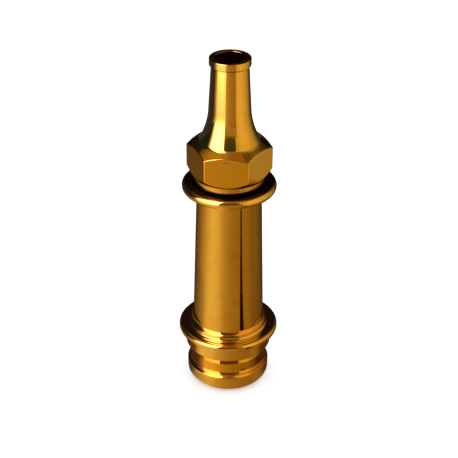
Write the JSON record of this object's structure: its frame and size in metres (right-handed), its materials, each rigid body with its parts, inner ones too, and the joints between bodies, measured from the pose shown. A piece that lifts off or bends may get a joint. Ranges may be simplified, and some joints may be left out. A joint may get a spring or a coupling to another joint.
{
  "type": "fire hose branch pipe",
  "caption": "Smooth-bore fire hose branch pipe: tapered brass barrel, screw-on hexagon nozzle tip and male instantaneous inlet coupling.",
  "frame": {"origin": "centre of the open inlet face, which is also the face that it stands on", "axes": "+Z along the waterway from the inlet to the outlet; -Y is the side that one flat of the hexagon almost faces"},
  "size_m": [0.08, 0.08, 0.281],
  "materials": {
    "tip_brass": "mirror polished, turned and buffed, light handling marks",
    "barrel_brass": "mirror polished, turned and buffed, light handling marks",
    "coupling_brass": "mirror polished, turned and buffed, light handling marks",
    "washer_leather": "oiled, compressed",
    "washer_rubber": "matt"
  },
  "bodies": {
    "branch": {"barrel": "barrel_brass", "coupling_washer": "washer_rubber", "inlet_coupling": "coupling_brass"},
    "washer": {"tip_washer": "washer_leather"},
    "tip": {"nozzle_tip": "tip_brass"}
  },
  "joints": [
    {"name": "tip_lift", "type": "slide", "parent": "branch", "child": "washer", "axis": [0, 0, 1], "range_m": [0, 0.01847]},
    {"name": "tip_turn", "type": "hinge", "parent": "washer", "child": "tip", "pos_m": [0, 0, 0.2], "axis": [0, 0, 1], "range_deg": [0, 2881]}
  ],
  "couplings": [
    {"joint": "tip_turn", "follows": "tip_lift", "rad_per_m": 2721.1}
  ]
}
